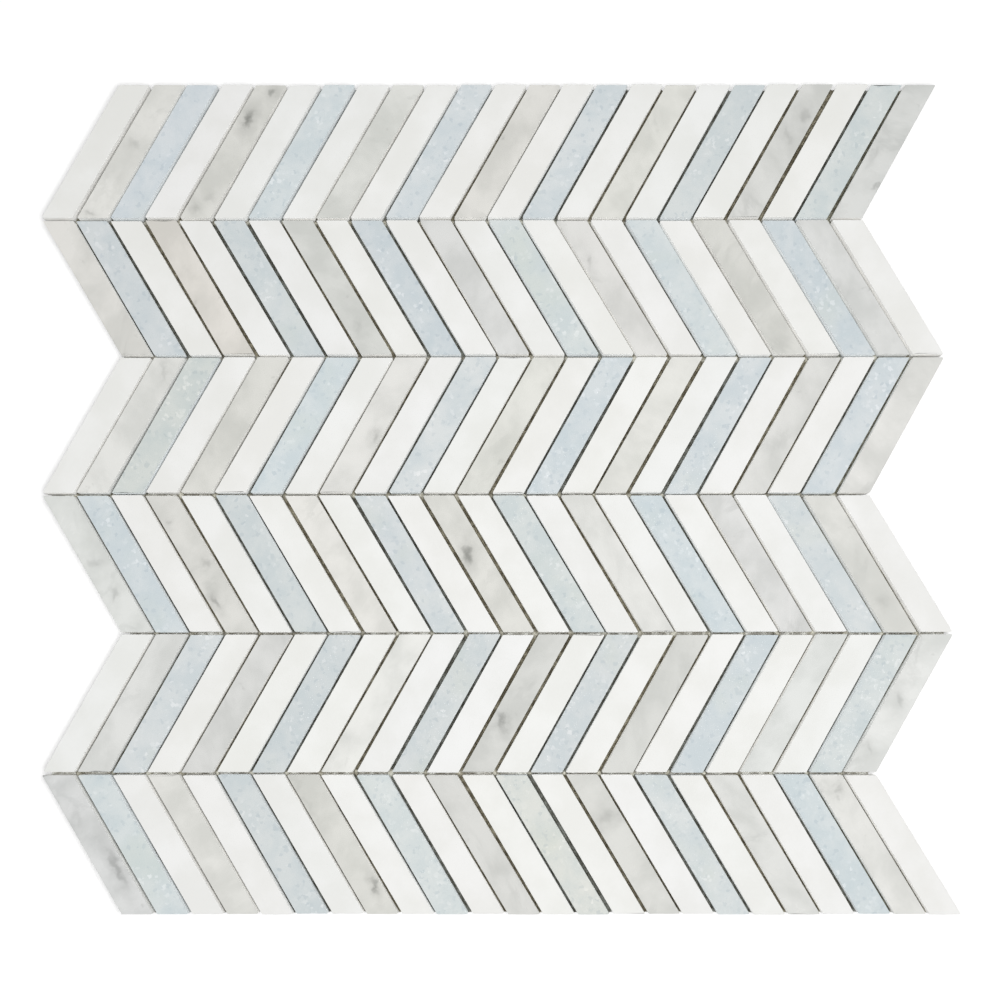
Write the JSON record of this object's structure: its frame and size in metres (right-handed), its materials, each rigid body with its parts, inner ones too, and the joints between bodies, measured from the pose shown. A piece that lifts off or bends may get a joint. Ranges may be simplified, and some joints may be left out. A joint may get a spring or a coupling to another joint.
{
  "type": "chevron wall tile",
  "caption": "Net-backed mosaic sheet of leaning marble strips in white, grey and pale blue, laid in zigzag rows with open joints, for facing a wall.",
  "frame": {"origin": "on the floor under the middle of the sheet, at the back of the net", "axes": "+X along the rows, to the right when the sheet is seen from its polished side; +Y across the rows, towards the top row; +Z out of the polished face"},
  "size_m": [0.3318, 0.3008, 0.0099],
  "materials": {
    "white_marble": "satin",
    "grey_marble": "satin",
    "blue_marble": "satin",
    "net": "matte"
  },
  "bodies": {
    "root": {"row_1_white_strips": "white_marble", "row_1_grey_strips": "grey_marble", "row_1_blue_strips": "blue_marble", "row_2_white_strips": "white_marble", "row_2_grey_strips": "grey_marble", "row_2_blue_strips": "blue_marble", "row_3_white_strips": "white_marble", "row_3_grey_strips": "grey_marble", "row_3_blue_strips": "blue_marble", "row_4_white_strips": "white_marble", "row_4_grey_strips": "grey_marble", "row_4_blue_strips": "blue_marble", "row_5_white_strips": "white_marble", "row_5_grey_strips": "grey_marble", "row_5_blue_strips": "blue_marble", "row_6_white_strips": "white_marble", "row_6_grey_strips": "grey_marble", "row_6_blue_strips": "blue_marble", "net_lower_threads": "net", "net_upper_threads": "net"}
  },
  "joints": []
}
